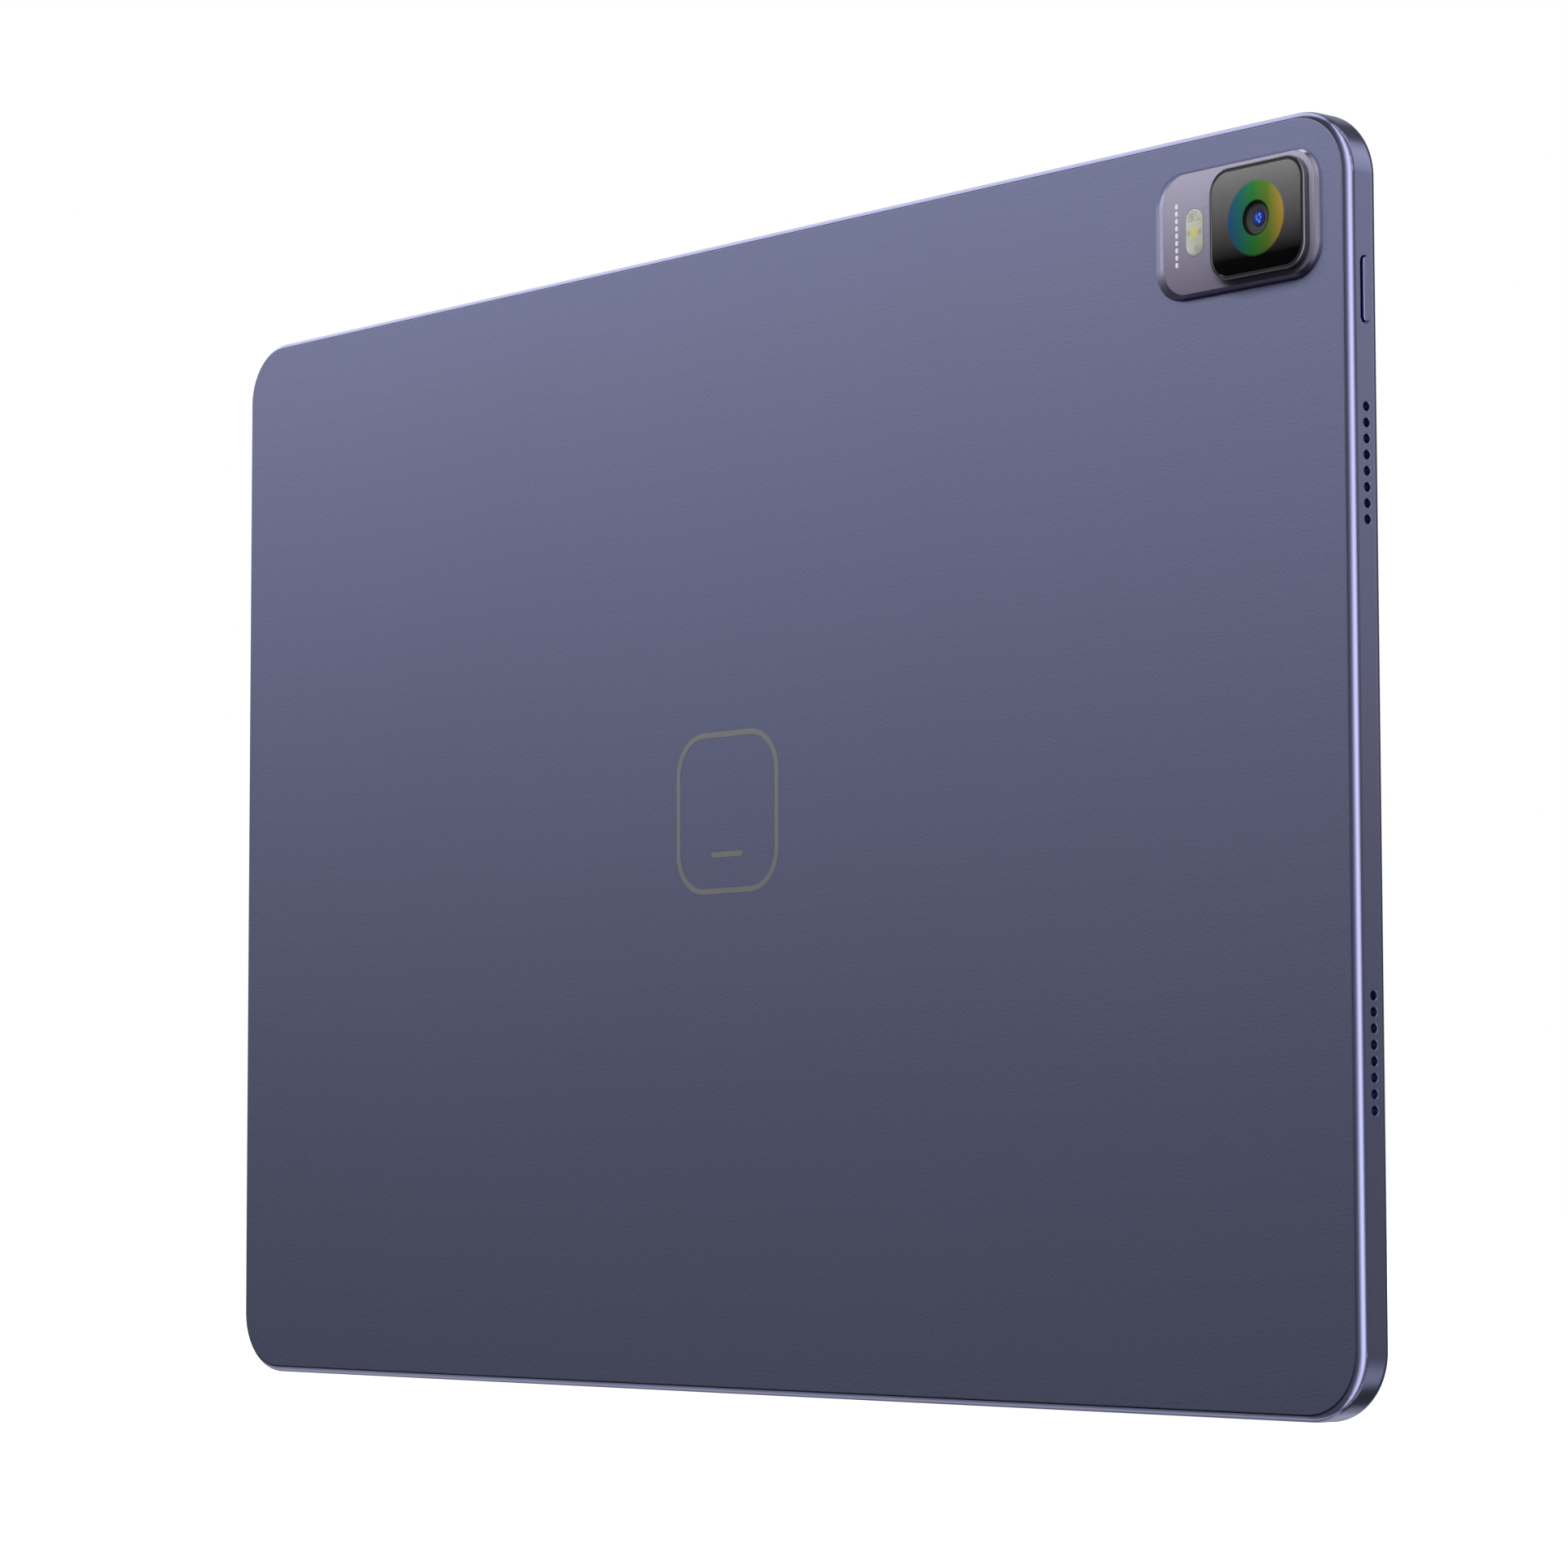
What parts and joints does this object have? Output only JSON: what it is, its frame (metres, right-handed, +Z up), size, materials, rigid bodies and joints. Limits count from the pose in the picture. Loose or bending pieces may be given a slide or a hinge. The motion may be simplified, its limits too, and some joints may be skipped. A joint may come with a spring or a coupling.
{
  "type": "tablet computer",
  "caption": "Slim landscape tablet computer with a matt back panel, polished bevelled frame, raised rear camera and flash, side button, rocker, card tray and USB-C port.",
  "frame": {"origin": "on the surface under the bottom long edge, midway along the length and midway between the screen glass and the front of the camera block", "axes": "+X to the right as seen from the back (towards the power button), +Z up from the bottom long edge, -Y out of the back, +Y out of the screen"},
  "size_m": [0.2795, 0.0092, 0.1925],
  "materials": {
    "body_metal": "purple-grey satin coat on milled aluminium, polished on the bevels",
    "back_panel": "purple-grey matt coat with a fine pebble grain",
    "camera_gloss": "warm purple-grey gloss",
    "ring_metal": "black gloss, bright on the rim",
    "mask_black": "black film with a rainbow-coated ring",
    "cover_glass": "clear polished glass",
    "lens_glass": "blue-coated lens",
    "window_clear": "milky fluted lens",
    "black_plastic": "fine matt black",
    "lamp_yellow": "yellow phosphor",
    "switch_plastic": "dark moulded",
    "flex_film": "amber film",
    "plated_steel": "plated sheet",
    "circuit_board": "dark green solder mask",
    "cell_pouch": "dull foil pouch",
    "adhesive_film": "black foam tape",
    "heat_film": "graphite sheet",
    "screen_glass": "black, unlit",
    "screen_back": "white diffuser sheets"
  },
  "bodies": {
    "tablet": {"mid_frame": "body_metal", "camera_bezel": "body_metal", "back_cover": "back_panel", "camera_plate": "camera_gloss", "lens_ring": "ring_metal", "lens_mask": "mask_black", "lens_cover_glass": "cover_glass", "front_glass": "cover_glass", "flash_window": "window_clear", "focus_housing": "black_plastic", "front_camera": "black_plastic", "speaker_left_lower": "black_plastic", "speaker_left_upper": "black_plastic", "speaker_right_lower": "black_plastic", "speaker_right_upper": "black_plastic", "port_tongue": "black_plastic", "light_sensor": "black_plastic", "flash_lamp": "lamp_yellow", "power_switch": "switch_plastic", "rocker_cradle": "switch_plastic", "rocker_switches": "switch_plastic", "board_chips": "switch_plastic", "board_sockets": "switch_plastic", "camera_base": "switch_plastic", "image_sensor": "switch_plastic", "flash_cable": "flex_film", "power_cable": "flex_film", "rocker_cable": "flex_film", "port_cable": "flex_film", "battery_cable": "flex_film", "screen_cable": "flex_film", "antenna_upper": "flex_film", "antenna_lower": "flex_film", "card_reader": "plated_steel", "port_shell": "plated_steel", "processor_can": "plated_steel", "radio_can": "plated_steel", "microphones": "plated_steel", "pen_magnets": "plated_steel", "board_screws": "plated_steel", "speaker_meshes": "plated_steel", "main_board": "circuit_board", "port_board": "circuit_board", "battery_board": "circuit_board", "battery_cell_left": "cell_pouch", "battery_cell_right": "cell_pouch", "battery_pads": "adhesive_film", "cover_adhesive": "adhesive_film", "glass_adhesive": "adhesive_film", "heat_spreader": "heat_film", "screen_panel": "screen_glass", "backlight": "screen_back", "pen_digitizer": "screen_back"},
    "button": {"power_button": "body_metal"},
    "rocker": {"volume_rocker": "body_metal"},
    "tray": {"card_tray": "body_metal"},
    "focus": {"lens_barrel": "black_plastic", "lens_stack": "lens_glass"}
  },
  "joints": [
    {"name": "power_press", "type": "slide", "parent": "tablet", "child": "button", "axis": [-1, 0, 0], "range_m": [0, 0.0003], "stiffness_N_per_m": 6000},
    {"name": "volume_rock", "type": "hinge", "parent": "tablet", "child": "rocker", "pos_m": [0.1095, 0.00125, 0.1893], "axis": [0, 1, 0], "range_deg": [-1.2, 1.2], "stiffness_Nm_per_rad": 1.2},
    {"name": "tray_slide", "type": "slide", "parent": "tablet", "child": "tray", "axis": [-1, 0, 0], "range_m": [0, 0.016]},
    {"name": "focus_slide", "type": "slide", "parent": "tablet", "child": "focus", "axis": [0, -1, 0], "range_m": [0, 0.00025], "stiffness_N_per_m": 150}
  ]
}
